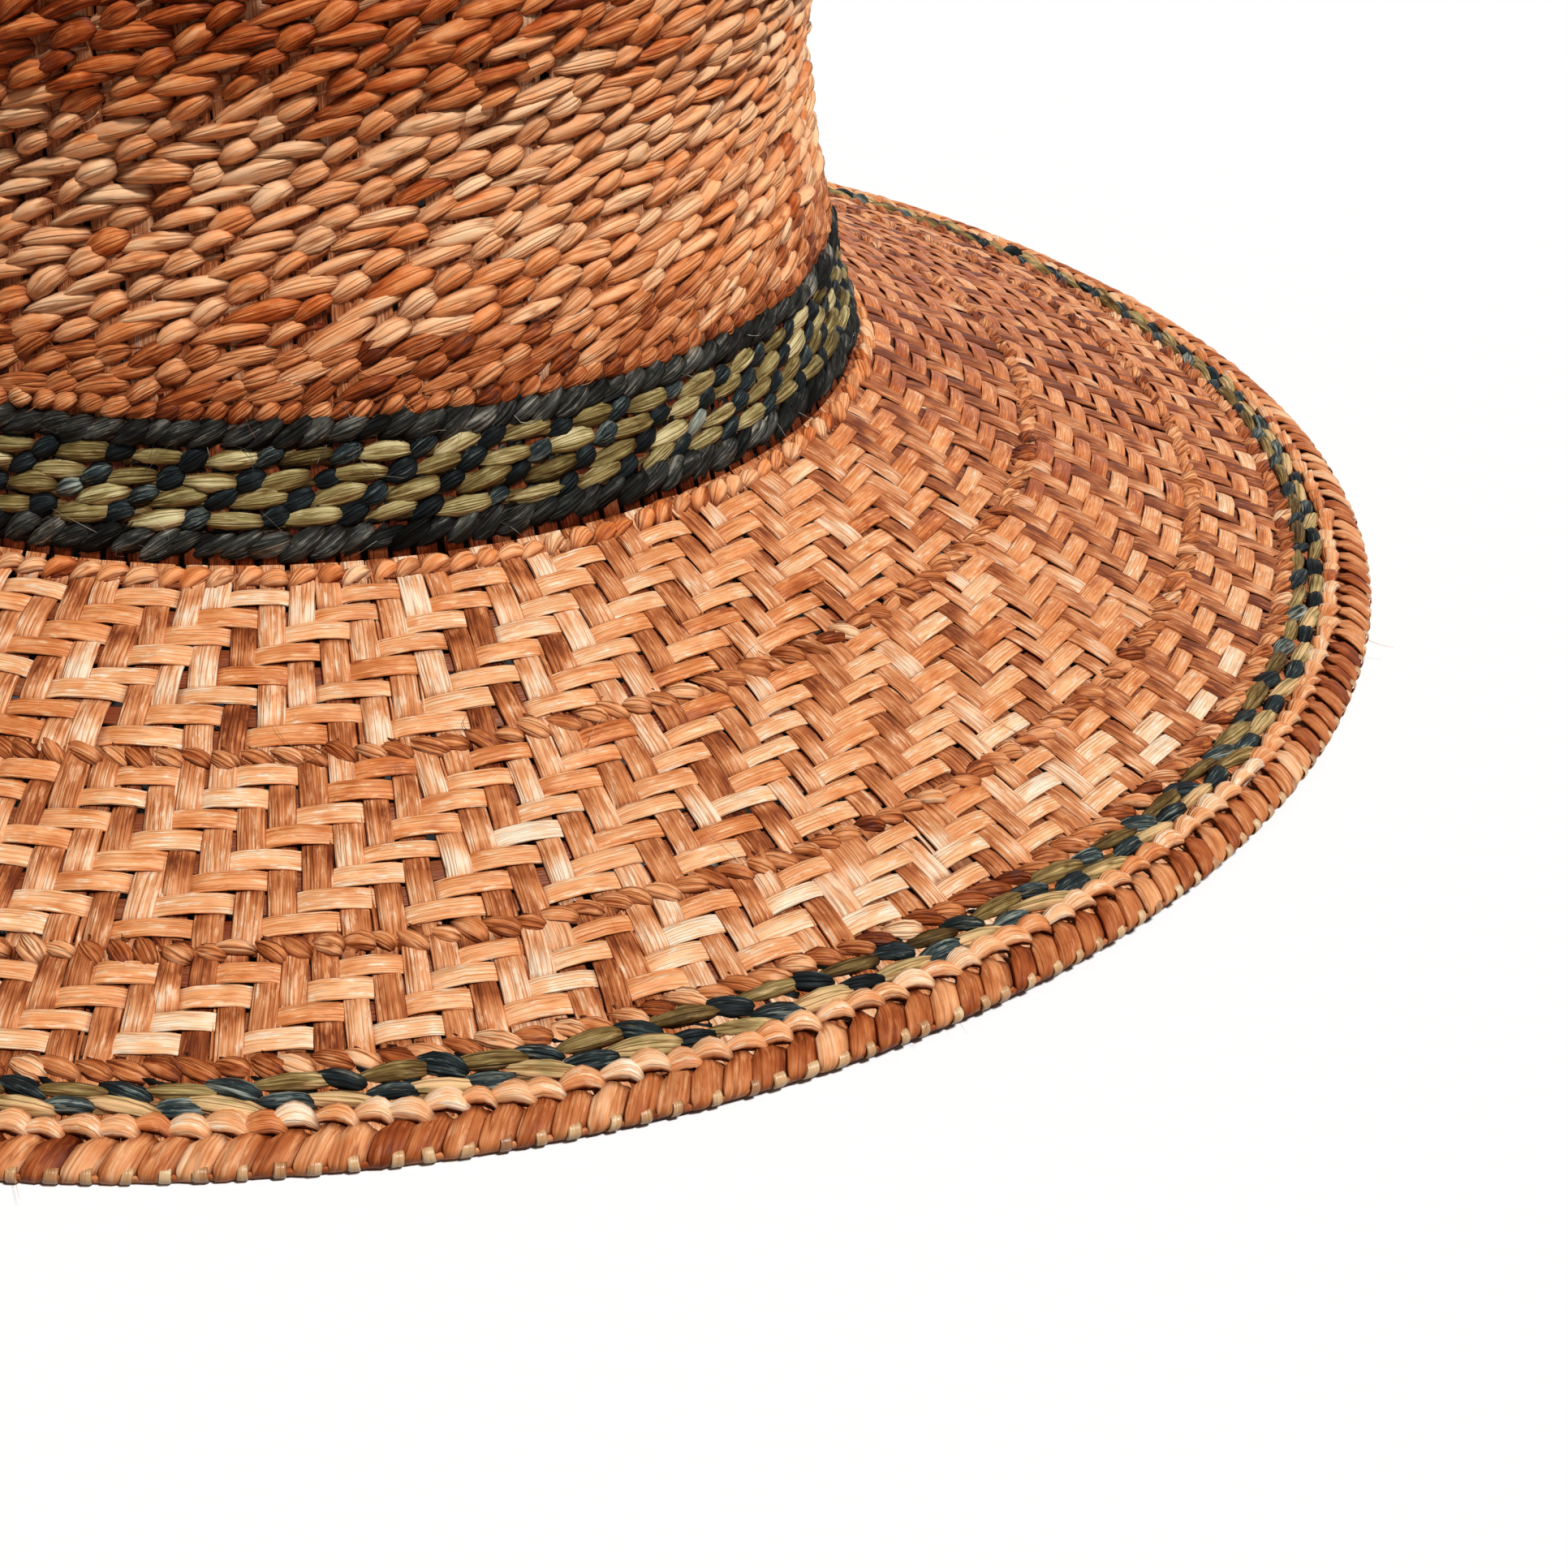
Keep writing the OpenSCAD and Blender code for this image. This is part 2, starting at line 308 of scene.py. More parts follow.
def closed_tubes(points, fibre, along, tint, dye=0.0, unshaded=1.0, looped=False):
    """Faces and attributes for section points by strand, ring and side. Faces are turned so
    that the enclosed volume is positive. The last part of the grain gives each strand its own
    place in the noise."""
    n, k, s = points.shape[:3]
    strand = np.arange(n)[:, None, None] * k * s
    ring = np.arange(k if looped else k - 1)[None, :, None]
    side = np.arange(s)[None, None, :]
    here = strand + ring * s
    there = strand + (ring + 1) % k * s
    after = (side + 1) % s
    quads = np.stack([here + side, there + side, there + after, here + after], -1).reshape(-1, 4)
    flat = points.reshape(-1, 3)
    a, b, c, d = (flat[quads[:, i]] for i in range(4))
    volume = (np.cross(a, b) * c).sum() + (np.cross(a, c) * d).sum()
    ends = np.zeros((0, s), int)
    if not looped:
        first = np.arange(n)[:, None] * k * s + np.arange(s)[None, :]
        ends = np.concatenate([first, (first + (k - 1) * s)[:, ::-1]])
    if volume < 0:
        quads = quads[:, ::-1]
        ends = ends[:, ::-1]
    own = np.broadcast_to((np.arange(n) * OWN_STEP % OWN_RANGE)[:, None, None], (n, k, s))
    along = by_point(np.broadcast_to(along, (n, k)), (n, k, s))
    grain = np.stack([along, np.broadcast_to(fibre, (n, k, s)), own], -1)
    levels = [by_point(v, (n, k, s)) for v in (tint, unshaded, dye)]
    return {"points": flat, "quads": quads, "ends": ends, "grain": grain, "tone": np.stack(levels, -1)}


def make_piece(name, parts, material):
    """One object of the given strands, with their grain and tone as attributes. It stands for
    the CAD node of the same name and rides on the hat's only body."""
    start = np.cumsum([0] + [len(p["points"]) for p in parts])
    points = np.concatenate([p["points"] for p in parts])
    groups = [p["quads"] + o for p, o in zip(parts, start)]
    groups += [p["ends"] + o for p, o in zip(parts, start)]
    sizes = np.concatenate([np.full(len(g), g.shape[1]) for g in groups])
    corners = np.concatenate([g.ravel() for g in groups])
    mesh = bpy.data.meshes.new(name)
    mesh.vertices.add(len(points))
    mesh.vertices.foreach_set("co", points.astype(np.float32).ravel())
    mesh.loops.add(len(corners))
    mesh.loops.foreach_set("vertex_index", corners.astype(np.int32))
    mesh.polygons.add(len(sizes))
    mesh.polygons.foreach_set("loop_start", (np.cumsum(sizes) - sizes).astype(np.int32))
    mesh.polygons.foreach_set("use_smooth", np.ones(len(sizes), bool))
    mesh.update(calc_edges=True)
    for label in ("grain", "tone"):
        values = np.concatenate([p[label].reshape(-1, 3) for p in parts])
        attribute = mesh.attributes.new(label, "FLOAT_VECTOR", "POINT")
        attribute.data.foreach_set("vector", values.astype(np.float32).ravel())
    mesh.materials.append(material)
    piece = bpy.data.objects.new(name, mesh)
    bpy.context.scene.collection.objects.link(piece)
    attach(piece, "root")
    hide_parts(name)


class Value:
    """A shader socket that takes part in Python sums."""

    def __init__(self, recipe, socket):
        self.recipe = recipe
        self.socket = socket

    def math(self, operation, first, second):
        """A Math node on two values, of which one may be a plain number."""
        return self.recipe.node("ShaderNodeMath", {"operation": operation}, {0: first, 1: second})

    def __add__(self, other):
        return self.math("ADD", self, other)

    def __radd__(self, other):
        return self.math("ADD", other, self)

    def __sub__(self, other):
        return self.math("SUBTRACT", self, other)

    def __rsub__(self, other):
        return self.math("SUBTRACT", other, self)

    def __mul__(self, other):
        return self.math("MULTIPLY", self, other)

    def __rmul__(self, other):
        return self.math("MULTIPLY", other, self)


class Recipe:
    """The nodes of a material or of the world."""

    def __init__(self, owner):
        owner.use_nodes = True
        self.tree = owner.node_tree
        self.tree.nodes.clear()

    def node(self, kind, settings=None, sockets=None, output=0):
        """A node of that type: its settings are set first, then its sockets are set or linked."""
        made = self.tree.nodes.new(kind)
        for key, value in (settings or {}).items():
            if key == "stops":
                self.set_stops(made.color_ramp, value)
            else:
                setattr(made, key, value)
        for key, value in (sockets or {}).items():
            if isinstance(value, Value):
                self.tree.links.new(value.socket, made.inputs[key])
            else:
                made.inputs[key].default_value = value
        return Value(self, made.outputs[output]) if made.outputs else made

    def set_stops(self, ramp, stops):
        """Places a ramp's colours, the first two in the elements that it starts with."""
        while len(ramp.elements) < len(stops):
            ramp.elements.new(0.5)
        for element, (place, colour) in zip(ramp.elements, stops):
            element.position = place
            element.color = colour

    def attribute(self, name):
        """The vector of one of the mesh's attributes."""
        return self.node("ShaderNodeAttribute", {"attribute_name": name}, output="Vector")

    def noise(self, vector, stretch, detail, roughness):
        """Noise in a vector that is stretched along its axes first."""
        scaled = self.node("ShaderNodeVectorMath", {"operation": "MULTIPLY"}, {0: vector, 1: stretch})
        sockets = {"Vector": scaled, "Scale": 1.0, "Detail": detail, "Roughness": roughness}
        return self.node("ShaderNodeTexNoise", None, sockets)

    def seen(self):
        """1 for the rays that show the background: from the camera, off gloss or through glass."""
        camera = self.node("ShaderNodeLightPath", output="Is Camera Ray")
        outputs = camera.socket.node.outputs
        return camera + Value(self, outputs["Is Glossy Ray"]) + Value(self, outputs["Is Transmission Ray"])

    def ramp(self, value, stops):
        """A run of colours or greys by a value from 0 to 1."""
        return self.node("ShaderNodeValToRGB", {"stops": stops}, {"Fac": value})

    def mix(self, factor, first, second, blend="MIX"):
        """A mix of two colours, which are the node's sockets 6 and 7 and its output 2."""
        settings = {"data_type": "RGBA", "blend_type": blend}
        return self.node("ShaderNodeMix", settings, {0: factor, 6: first, 7: second}, output=2)

    def surface(self, kind, sockets, target):
        """A shader that is the whole surface of a material or of the world."""
        shader = self.node(kind, None, sockets)
        self.node(target, None, {"Surface": shader})


def srgb(red, green, blue):
    """A colour of the screen, 0 to 255, as the linear colour that renders as it."""
    level = np.array([red, green, blue]) / 255
    linear = np.where(level <= 0.04045, level / 12.92, ((level + 0.055) / 1.055) ** 2.4)
    return (*linear.tolist(), 1.0)


WHITE = (1.0, 1.0, 1.0, 1.0)
BLACK = (0.0, 0.0, 0.0, 1.0)

# Painted shade: what a strand's colour is multiplied by where it lies deep under others
PAINTED_SHADE = (0.24, 0.1, 0.05, 1.0)

# How much paler scuffed bark and painted glints are, as a share of the run of shades
SCUFF_GLINT_BY = 0.35

# Stretch of the bark's noise along a strand, across it and from strand to strand, or along it only
LINES = (0.09, 3.0, 1.0)
FINE_LINES = (0.25, 8.0, 1.0)
PATCHES = (0.22, 0.4, 1.0)
CREASE_RUN = 0.07
SCUFF_GLINT_RUN = 0.3

# Bump of the bark: its strength and its depth in metres
BUMP_STRENGTH = 0.7
BUMP_DEPTH = 0.00025


def bark(
    name, shades, dyed=None, gloss=0.48, streaks=0.6, patchy=0.85, crease=0.5,
    scuff_glints=0.35, scuff_glint_grain=1.2, spacing=1.5, sheen=0.12,
):
    """Bark with its fibres along the strand. Lines and broad patches of noise, stretched along
    the grain, move each strand's own tint over a run of shades from dark to pale. Where a
    slower noise crosses its middle the bump cuts a crease, and painted shade lays a thin dark
    line in it. Where another noise is high the bark is paler: scuffed bark, partly painted
    glints. Dyed strands take a second run of shades. Painted shade darkens what lies under
    other strands, and the edges and tips of stitches, by the unshaded share in the tone.
    spacing, for the creases, and the grain of the scuffs and glints are in a millimetre
    across, about, gloss is the roughness and sheen the specular level."""
    material = bpy.data.materials.new(name)
    recipe = Recipe(material)
    grain = recipe.attribute("grain")
    tint = recipe.node("ShaderNodeSeparateXYZ", None, {0: recipe.attribute("tone")})
    outputs = tint.socket.node.outputs
    unshaded = Value(recipe, outputs[1])
    dye = Value(recipe, outputs[2])
    lines = recipe.noise(grain, LINES, 3.0, 0.6)
    fine = recipe.noise(grain, FINE_LINES, 2.0, 0.6)
    patches = recipe.noise(grain, PATCHES, 2.0, 0.55)
    folds = recipe.noise(grain, (CREASE_RUN, spacing, 1.0), 1.0, 0.4)
    level = tint + (lines - 0.5) * streaks + (patches - 0.5) * patchy + (fine - 0.5) * streaks * 0.7
    colour = recipe.ramp(level, shades)
    pale = recipe.ramp(level + SCUFF_GLINT_BY, shades)
    if dyed:
        colour = recipe.mix(dye, colour, recipe.ramp(level, dyed))
        pale = recipe.mix(dye, pale, recipe.ramp(level + SCUFF_GLINT_BY, dyed))
    # Paler patches: scuffed bark, partly painted glints
    scuff_glint = recipe.noise(grain, (SCUFF_GLINT_RUN, scuff_glint_grain, 1.0), 3.0, 0.65)
    mask = recipe.ramp(scuff_glint, [(0.55, BLACK), (0.64, (scuff_glints, scuff_glints, scuff_glints, 1))])
    colour = recipe.mix(mask, colour, pale)
    # Painted shade: a thin dark line in each crease that the bump cuts
    dark = (1 - 0.8 * crease, 1 - crease, 1 - 1.15 * crease, 1)
    groove = recipe.ramp(folds, [(0.455, WHITE), (0.5, dark), (0.545, WHITE)])
    colour = recipe.mix(1.0, colour, groove, "MULTIPLY")
    # Painted shade: the colour darkens where the unshaded share in the tone is low
    under = recipe.ramp(unshaded, [(0.0, PAINTED_SHADE), (0.8, WHITE)])
    colour = recipe.mix(1.0, colour, under, "MULTIPLY")
    valley = recipe.ramp(folds, [(0.4, WHITE), (0.5, BLACK), (0.6, WHITE)])
    relief = lines * 0.5 + fine * 0.3 + valley * (1.5 * crease)
    bump = recipe.node(
        "ShaderNodeBump", None, {"Strength": BUMP_STRENGTH, "Distance": BUMP_DEPTH, "Height": relief}
    )
    sockets = {
        "Base Color": colour,
        "Roughness": gloss + (lines - 0.5) * 0.35,
        "Normal": bump,
        "Specular IOR Level": sheen,
    }
    recipe.surface("ShaderNodeBsdfPrincipled", sockets, "ShaderNodeOutputMaterial")
    return material


def ramp_of(*colours):
    """Stops for a run of shades, evenly spaced from 0 to 1."""
    last = len(colours) - 1
    return [(i / last, srgb(*c)) for i, c in enumerate(colours)]


CROWN_SHADES = ramp_of((112, 40, 10), (190, 90, 36), (234, 144, 82), (251, 182, 128), (255, 208, 162))
WARP_SHADES = ramp_of((112, 50, 22), (172, 94, 50), (216, 138, 86), (242, 182, 134), (254, 226, 196))
WEFT_SHADES = ramp_of((164, 76, 28), (216, 126, 66), (242, 166, 108), (252, 198, 148), (255, 236, 208))
RED_SHADES = ramp_of((92, 36, 10), (160, 78, 34), (210, 128, 74), (242, 172, 118), (254, 214, 172))
FOLD_SHADES = ramp_of((96, 36, 10), (156, 74, 32), (202, 120, 68), (236, 164, 110), (252, 206, 162))
OLIVE_SHADES = ramp_of((40, 28, 10), (84, 67, 32), (126, 108, 62), (168, 151, 98), (222, 206, 156))
BORDER_SHADES = ramp_of((56, 38, 16), (100, 76, 40), (138, 112, 64), (180, 158, 104), (240, 196, 142))
ROPE_SHADES = ramp_of((6, 6, 5), (24, 24, 22), (48, 49, 46), (90, 90, 84), (182, 176, 160))
DARK_SHADES = ramp_of((3, 4, 5), (12, 16, 18), (25, 34, 37), (54, 66, 67), (166, 174, 162))
THREAD_SHADES = ramp_of((146, 92, 52), (182, 128, 82), (206, 158, 108), (224, 188, 142), (242, 216, 180))

crown_bark = bark("crown_bark", CROWN_SHADES, streaks=0.75, patchy=0.7, crease=0.6, spacing=0.9)
warp_bark = bark("warp_bark", WARP_SHADES, streaks=0.9, crease=0.45, scuff_glints=0.7)
weft_bark = bark(
    "weft_bark", WEFT_SHADES, gloss=0.42, streaks=0.8, crease=0.34, scuff_glints=0.85, spacing=1.7, sheen=0.25,
)
red_bark = bark("red_bark", RED_SHADES, streaks=0.9, crease=0.8, spacing=1.2)
rope_bark = bark("rope_bark", ROPE_SHADES, gloss=0.65, streaks=1.2, crease=0.6, scuff_glints=0.4, sheen=0.05)
check_bark, border_bark = (
    bark(
        name, shades, DARK_SHADES, streaks=1.0, crease=0.7, scuff_glints=0.6, scuff_glint_grain=3.0, spacing=1.3,
        sheen=0.08,
    )
    for name, shades in (("check_bark", OLIVE_SHADES), ("border_bark", BORDER_SHADES))
)
binding_bark = bark("binding_bark", FOLD_SHADES, streaks=0.45, crease=0.4, scuff_glints=0.45, spacing=0.7)
sewing_thread = bark("sewing_thread", THREAD_SHADES, gloss=0.3, crease=0.1, sheen=0.4)

# Section of a stitch by angle: rounder on its face, flatter on the side that lies on the warps
FACE_SECTION = np.radians([0, 24, 50, 76, 104, 130, 156, 180, 270])
BACK_SECTION = np.radians([0, 60, 120, 180, 270])
STITCH_RINGS = 8
BACK_RINGS = 6

# Stitches on the inside: how far they stand off the warps, and their height as a share of the face's
BACK_SEAT = 0.3
BACK_HEIGHT = 0.8


def stitches(
    rng, m, theta, length, width, height, lean, seat, tint, dye=0.0,
    side=1, crease=0.3, arch=0.0, blunt=0.66, rings=STITCH_RINGS,
):
    """Twined stitches: a leaf of folded bark laid across the warps. Along it, t runs from 0 to
    1 and the width follows a power of sin(pi t), pointed at the left and blunt at the right. The
    middle line comes up from between the warps at one end and drops more sharply at the other,
    lean turns the leaf, right end up, and arch bows it upwards. The section is a flattened half
    round mixed with a tent, whose fold lies at a random place across. Each line along it has its
    own random height, which gives the ridges of folded bark, and fibres run to the tips. Painted
    shade darkens the tips and the edges, most of all the lower edge. side is 1 for the face and
    -1 for the inside."""
    n = len(m)
    t = (1 - np.cos(np.linspace(0.05, 0.95, rings if side > 0 else BACK_RINGS) * math.pi)) / 2
    belly = np.sin(math.pi * t ** rng.uniform(1.05, 1.6, (n, 1)))
    full = belly ** (rng.uniform(blunt - 0.1, blunt + 0.12, (n, 1)) * (1.15 - 0.6 * smooth(t)))
    angle = FACE_SECTION if side > 0 else BACK_SECTION
    ridge = 1 + rng.uniform(-crease, 0.5 * crease, (n, 1, len(angle)))
    edge = 1 + rng.uniform(-0.1, 0.08, (n, len(t), len(angle)))
    uneven = rng.uniform(-0.25, 0.25, (n, 1, 1))
    x = (t[None, :] - 0.5) * length[:, None]
    half = (full * width[:, None] / 2)[..., None]
    across = (np.cos(angle) * edge + uneven) * half - arch * (belly**0.65 - 0.6)[..., None]
    rise = np.sin(angle)
    fold = rng.uniform(-0.5, 0.5, (n, 1, 1))
    tent = np.minimum((1 + np.cos(angle)) / (1 + fold), (1 - np.cos(angle)) / (1 - fold))
    raised = np.where(rise > 1e-6, 0.5 * np.abs(rise) ** 0.55 + 0.6 * tent, rise * 0.5)
    up = raised * ridge * (full * height[:, None])[..., None] * side
    dive = (seat + 0.4) * (1 - belly**0.5) + 0.22 * (1 - t)
    centre = (seat - dive) * side
    turn = np.broadcast_to(lean[:, None], (n, len(t)))
    line_m = m[:, None] - x * np.sin(turn)
    line_theta = theta[:, None] + x * np.cos(turn) / np.maximum(radius(m), 1)[:, None]
    # Painted shade: the tips and edges are darker, the lower edge most, as where shade falls under a stitch
    lowest = np.where(np.cos(angle) > 0, 0.0, 0.3)
    rim_shade = lowest + (1 - lowest) * np.clip(rise, 0, 1) ** 1.15
    unshaded = smooth(belly * 1.6)[..., None] * rim_shade
    along = x + rng.uniform(0, 60, (n, 1))
    fibre = np.cos(angle) * width[:, None, None] / 2
    return tubes(line_m, line_theta, centre, across, up, turn, along, tint, dye, unshaded, fibre)


def row_tints(rng, n, middle, spread, odd=0.07):
    """Tints of a row's stitches about a middle. A few odd ones are of much darker bark."""
    tint = rng.normal(middle, spread, n)
    tint = np.where(rng.random(n) < odd, tint - 0.28, tint)
    return np.clip(tint, DARKEST, PALEST)


def wandering(rng, theta, size, waves=(3, 5, 8, 13, 21)):
    """A smooth random wave round the hat, as a sum of a few sines."""
    return sum(rng.normal(0, size) * np.sin(k * theta + rng.uniform(0, TURN)) for k in waves)


def checked_row(
    rng, m, warps, shift, width, height, leans, tint, dyes=(0, 0), reach=(2.7, 1.75), blunt=(0.6, 0.66),
    spread=0.13, seat=0.35, contrast=0.0, arch=0.0, slim=0.8, patch=0.0, tilt=0.0,
):
    """A row that goes over two warps and then over one, round the hat. Pairs of values are for
    the long and for the short stitches: leans are their angles, dyes their dye, reach their
    lengths in warps, tips included, and blunt the powers that shape their tips. contrast is how
    much paler the short ones are, slim the narrowest one's share of the width, patch how much
    painted shade darkens the row in the patch high on the crown's wall, or, if it is negative,
    how much paler its bark is there, and tilt how much more its stitches lean on one side of
    the hat than on the other."""
    units = warps // 3
    pitch = TURN * radius(m) / warps
    unit = np.arange(units) * 3 + shift
    places = np.concatenate([unit + 1.0, unit + 2.52])
    long = np.repeat([True, False], units)
    n = 2 * units
    theta = (places + rng.normal(0, 0.07, n)) / warps * TURN
    length = np.where(long, *reach) * pitch * rng.uniform(0.92, 1.1, n)
    lean = np.where(long, *leans) + rng.normal(0, 0.07, n)
    lean = lean + tilt * np.cos(theta - TILT_AT)
    wide = np.where(long, 1.0, 1.05) * width * rng.uniform(slim, 1.16, n)
    line = m + wandering(rng, theta, 0.1) + rng.normal(0, 0.1, n)
    dye = np.where(long, *dyes)
    high = height * rng.uniform(0.75, 1.2, n)
    shade = row_tints(rng, n, tint, spread) + wandering(rng, theta, 0.04) + np.where(long, 0, contrast)
    # Painted shade where patch is positive; paler bark where it is negative
    shade = np.clip(shade - patch * np.clip(np.cos(theta - PATCH_AT), 0, 1), DARKEST, PALEST)
    tip = np.where(long, *blunt)[:, None]
    face = stitches(
        rng, line, theta, length, wide, high, lean, seat, shade, dye, crease=0.4, arch=arch, blunt=tip,
    )
    inside = row_tints(rng, n, tint, spread)
    back = stitches(
        rng, line, theta + 1.5 * TURN / warps, length, wide, high * BACK_HEIGHT, lean,
        BACK_SEAT, inside, dye, side=-1,
    )
    return [face, back]


def single_row(
    rng, m, count, reach, width, height, lean, tint, spread=0.13, swing=0.0, seat=0.35,
    crease=0.3, arch=0.0, loose=0.08, blunt=0.66, rings=STITCH_RINGS, shaded=0.0,
):
    """A row over one warp at a time: each stitch reaches past its own warp by a factor. swing
    makes every second stitch paler, loose is how much their lean differs, and shaded is how far
    the row takes on the painted shade of the brim's shaded side."""
    pitch = TURN * radius(m) / count
    place = np.arange(count)
    theta = (place + 0.5 + rng.normal(0, 0.07, count)) / count * TURN
    length = reach * pitch * rng.uniform(0.85, 1.12, count)
    wide = width * rng.uniform(0.78, 1.16, count)
    line = m + wandering(rng, theta, 0.08) + rng.normal(0, 0.1, count)
    leans = lean + rng.normal(0, loose, count)
    shade = row_tints(rng, count, tint, spread) + swing * (place % 2 - 0.5)
    # Painted shade on one side of the brim, as far as shaded says
    shade = np.clip(shade - shaded * side_shade(theta), DARKEST, PALEST)
    high = height * rng.uniform(0.8, 1.2, count)
    face = stitches(
        rng, line, theta, length, wide, high, leans, seat, shade,
        crease=crease, arch=arch, blunt=blunt, rings=rings,
    )
    back = stitches(
        rng, line, theta + TURN / count / 2, length, wide, high * BACK_HEIGHT, leans,
        BACK_SEAT, shade, side=-1,
    )
    return [face, back]


def stray_fibres(rng, count, top, bottom, start=0.5, reach=3.0, tint=0.6):
    """Loose fibres: hair-thin curved tubes that leave the weave at one end and curl away. They
    start at a height and reach up to a second height above it."""
    t = np.linspace(0, 1, 6)
    length = rng.uniform(2.5, 8.0, (count, 1))
    heading = rng.uniform(0, TURN, (count, 1))
    bend = rng.normal(0, 1.1, (count, 1))
    m0 = rng.uniform(top, bottom, (count, 1))
    theta0 = rng.uniform(0, TURN, (count, 1))
    m = m0 + length * t * np.sin(heading + bend * t)
    theta = theta0 + length * t * np.cos(heading + bend * t) / np.maximum(radius(m0), 1)
    out = start + reach * rng.uniform(0.1, 1, (count, 1)) * t**1.5
    angle = np.arange(3) / 3 * TURN
    thick = (0.075 * (1 - 0.7 * t))[None, :, None]
    y = np.broadcast_to(np.cos(angle) * thick, (count, len(t), 3))
    h = np.broadcast_to(np.sin(angle) * thick, (count, len(t), 3))
    turn = np.broadcast_to(heading + math.pi / 2, m.shape)
    return tubes(m, theta, out, y, h, turn, length * t, np.full(count, tint))


def flat_section(width, thickness, crown):
    """Section of a flat strip: y across and h up, with eased edges and a slightly raised middle."""
    y = np.array([-1, -0.86, 0, 0.86, 1, 0.86, -0.86]) / 2
    h = np.array([0, 0.5, 0.5, 0.5, 0, -0.5, -0.5])
    rise = np.array([0, 0, 1, 0, 0, 0, 0])
    return width[..., None] * y, thickness * h + crown * rise


def sliver_section(width):
    """Section of a thin sliver: a low triangle."""
    return width[..., None] * np.array([-0.5, 0, 0.5]), WARP_T * np.array([-0.4, 0.5, -0.4])


def warp_strips(rng, m, theta, out, width, tint, unshaded=1.0, thin=False):
    """Warps: flat strips, or thin slivers, that run down the weave, one row of the arrays each."""
    y, h = sliver_section(width) if thin else flat_section(width, WARP_T, 0.12)
    h = h + y * rng.normal(0, 0.05, (len(m), 1, 1))
    along = m + rng.uniform(0, 90, (len(m), 1))
    turn = np.full(m.shape, math.pi / 2)
    return tubes(m, theta, out, y, h, turn, along, tint, unshaded=unshaded)


def strip_width(m, warps, most):
    """Width of a warp: nearly its share of the circle, up to the strip's own width."""
    return np.minimum(most, 0.97 * TURN * radius(m) / warps)


def plain_warps(rng, top, bottom, warps, most, tint=0.46, unshaded=0.45, sunk=0.1):
    """Straight warps between two distances from the top, sunk a little under the rows. Painted
    shade darkens them all along by their unshaded share, for the gaps between the stitches.
    """
    m = np.linspace(top, bottom, max(3, int((bottom - top) / 3)))
    line = np.broadcast_to(m, (warps, len(m)))
    drift = rng.normal(0, 0.06, (warps, 1)) * np.sin(m / 11 + rng.uniform(0, 6, (warps, 1)))
    theta = (np.arange(warps)[:, None] + 0.5 + drift) / warps * TURN
    out = np.broadcast_to(rng.normal(-sunk, 0.05, (warps, 1)), line.shape)
    width = strip_width(line, warps, most) * rng.uniform(0.8, 1.02, (warps, 1))
    return warp_strips(rng, line, theta, out, width, row_tints(rng, warps, tint, 0.14), unshaded)


def crown_warps():
    """The crown's warps in three pieces: top, shoulder and wall. Their number doubles where the
    circle has room for twice as many."""
    edges = (START_R, DOME_LEN, DOME_LEN + SHOULDER_LEN, CROWN_LEN - BAND_TOP_H)
    stops = [start for start, _ in CROWN_ZONES[1:]] + [CROWN_LEN]
    for i, place in enumerate(("top", "shoulder", "wall")):
        rng = np.random.default_rng(SEED_CROWN_WARPS + i)
        parts = []
        for (start, warps), stop in zip(CROWN_ZONES, stops):
            low = max(edges[i], start)
            high = min(edges[i + 1], stop)
            if high - low > 1:
                parts.append(plain_warps(rng, low, high, warps, CROWN_STRIP_W))
        make_piece(f"crown_{place}_warps", parts, warp_bark)


def warps_at(m):
    """Number of the crown's warps at a distance from the middle."""
    return max(warps for start, warps in CROWN_ZONES if m >= start)


def crown_wefts():
    """The crown's courses in eight groups, counted up from the band. The pattern moves one warp
    to the left with each row down."""
    lowest = CROWN_LEN - COURSE_FIRST
    for group in range(CROWN_GROUPS):
        rng = np.random.default_rng(SEED_CROWN_ROWS + group)
        first = group * COURSES // CROWN_GROUPS
        last = (group + 1) * COURSES // CROWN_GROUPS
        parts = []
        for i in range(first, last):
            m = lowest - i * COURSE_STEP
            tint = 0.67 + 0.1 * smooth((i - 1) / 4) + rng.normal(0, 0.03)
            wall = 1 - smooth((i - FADE_ROW) / FADE_EASE)
            # Painted shade high on the wall, on one side
            patch = PATCH_BY * smooth((i - PATCH_ROW) / PATCH_EASE) * wall
            parts += checked_row(
                rng, m, warps_at(m), i + rng.normal(0, 0.12), width=3.05, height=1.45, leans=(0.22, 0.42),
                tint=tint, reach=(2.65, 1.65), blunt=(0.38, 0.42), spread=0.11, seat=0.45, arch=0.55,
                slim=0.68, patch=patch, tilt=TILT_BY * wall,
            )
        top = lowest - (last - 1) * COURSE_STEP
        parts.append(stray_fibres(rng, 10, top, lowest - first * COURSE_STEP))
        make_piece(f"crown_weft_{group + 1}", parts, crown_bark)


def crown_close_weft():
    """The close rows above the band, of which the lowest goes over single warps."""
    rng = np.random.default_rng(SEED_CLOSE_ROWS)
    low = CROWN_LEN - CLOSE_FIRST
    parts = single_row(
        rng, low, WARPS_BAND, reach=1.55, width=2.9, height=1.1, lean=0.5, tint=0.42, seat=0.45, loose=0.12,
    )
    for i in range(1, CLOSE_ROWS):
        parts += checked_row(
            rng, low - i * CLOSE_STEP, CLOSE_WARPS, i, width=2.9, height=1.25, leans=(0.3, 0.42), tint=0.5,
            blunt=(0.42, 0.46), seat=0.45, arch=0.3,
        )
    parts.append(stray_fibres(rng, 60, low - CLOSE_ROWS * CLOSE_STEP, low))
    make_piece("crown_close_weft", parts, red_bark)


